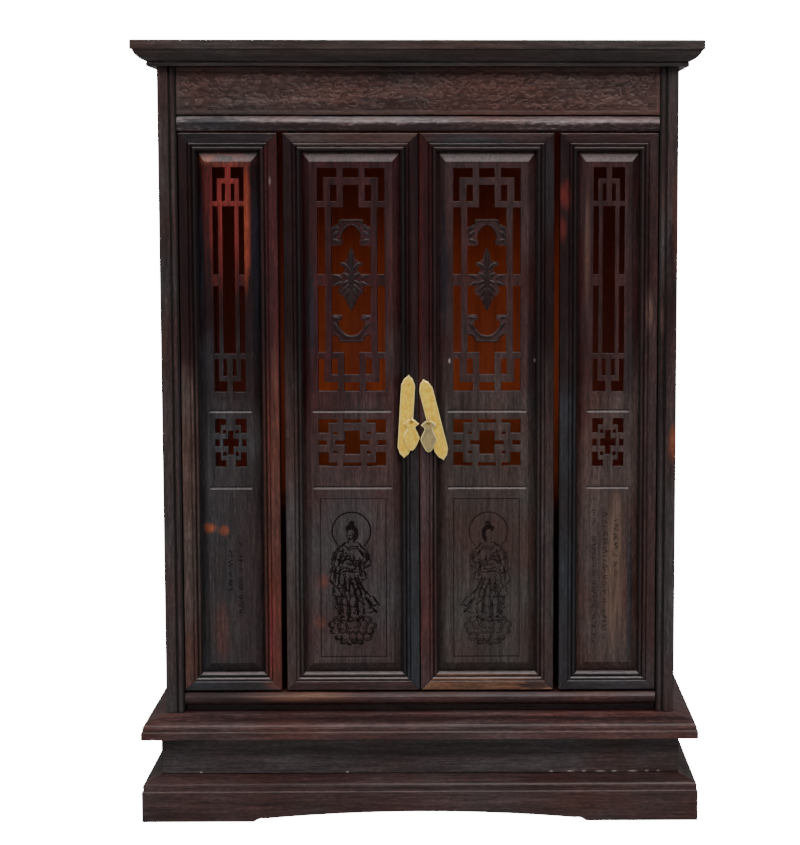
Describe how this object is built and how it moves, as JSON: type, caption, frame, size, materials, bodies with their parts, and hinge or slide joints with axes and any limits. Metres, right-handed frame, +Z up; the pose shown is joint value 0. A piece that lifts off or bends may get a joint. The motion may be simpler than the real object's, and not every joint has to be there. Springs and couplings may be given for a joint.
{
  "type": "tabletop altar cabinet",
  "caption": "Dark wooden tabletop shrine cabinet with a moulded top, pierced and panelled leaves, pivot-hung doors with brass drop pulls, and a stepped plinth with a shallow arch.",
  "frame": {"origin": "centre of the underside, on the surface the cabinet stands on", "axes": "+Z up, the doors face -Y, +X to the viewer's right when looking at the doors"},
  "size_m": [0.4386, 0.285, 0.61],
  "materials": {
    "dark_wood": "dark rosewood with a thin satin varnish, brown-black with reddish streaks, worn lighter on raised edges",
    "panel_wood": "dark rosewood panels, satin varnish, redder streaks along the grain",
    "stained_wood": "orange-red stained softwood, matt",
    "brass": "aged sheet brass, soft shine, paler worn rims"
  },
  "bodies": {
    "cabinet": {"back_panel": "stained_wood", "back_rail_bottom": "dark_wood", "back_rail_top": "dark_wood", "base_board": "dark_wood", "dado_back": "dark_wood", "dado_front": "dark_wood", "dado_left": "dark_wood", "dado_right": "dark_wood", "frieze_panel": "dark_wood", "frieze_rail": "dark_wood", "left_leaf_bottom_rail": "dark_wood", "left_leaf_inner_stile": "dark_wood", "left_leaf_outer_stile": "dark_wood", "left_leaf_panel": "panel_wood", "left_leaf_top_rail": "dark_wood", "plinth_back": "dark_wood", "plinth_front": "dark_wood", "plinth_left": "dark_wood", "plinth_right": "dark_wood", "post_back_left": "dark_wood", "post_back_right": "dark_wood", "post_front_left": "dark_wood", "post_front_right": "dark_wood", "right_leaf_bottom_rail": "dark_wood", "right_leaf_inner_stile": "dark_wood", "right_leaf_outer_stile": "dark_wood", "right_leaf_panel": "panel_wood", "right_leaf_top_rail": "dark_wood", "side_panel_left": "dark_wood", "side_panel_right": "dark_wood", "side_rail_bottom_left": "dark_wood", "side_rail_bottom_right": "dark_wood", "side_rail_top_left": "dark_wood", "side_rail_top_right": "dark_wood", "sill_rail": "dark_wood", "top_board": "dark_wood"},
    "left_door": {"left_door_bottom_pivot": "dark_wood", "left_door_bottom_rail": "dark_wood", "left_door_meeting_stile": "dark_wood", "left_door_panel": "panel_wood", "left_door_pivot_stile": "dark_wood", "left_door_top_pivot": "dark_wood", "left_door_top_rail": "dark_wood", "left_loop": "brass", "left_plate": "brass"},
    "right_door": {"right_door_bottom_pivot": "dark_wood", "right_door_bottom_rail": "dark_wood", "right_door_meeting_stile": "dark_wood", "right_door_panel": "panel_wood", "right_door_pivot_stile": "dark_wood", "right_door_top_pivot": "dark_wood", "right_door_top_rail": "dark_wood", "right_loop": "brass", "right_plate": "brass"},
    "left_pull": {"left_drop": "brass"},
    "right_pull": {"right_drop": "brass"}
  },
  "joints": [
    {"name": "left_door_hinge", "type": "hinge", "parent": "cabinet", "child": "left_door", "pos_m": [-0.0975, -0.1145, 0.32], "axis": [0, 0, -1], "range_deg": [0, 110]},
    {"name": "right_door_hinge", "type": "hinge", "parent": "cabinet", "child": "right_door", "pos_m": [0.0975, -0.1145, 0.32], "axis": [0, 0, 1], "range_deg": [0, 110]},
    {"name": "left_pull_swing", "type": "hinge", "parent": "left_door", "child": "left_pull", "pos_m": [-0.0064, -0.1249, 0.318], "axis": [-1, 0, 0], "range_deg": [0, 80]},
    {"name": "right_pull_swing", "type": "hinge", "parent": "right_door", "child": "right_pull", "pos_m": [0.0072, -0.1249, 0.3168], "axis": [-1, 0, 0], "range_deg": [0, 80]}
  ]
}
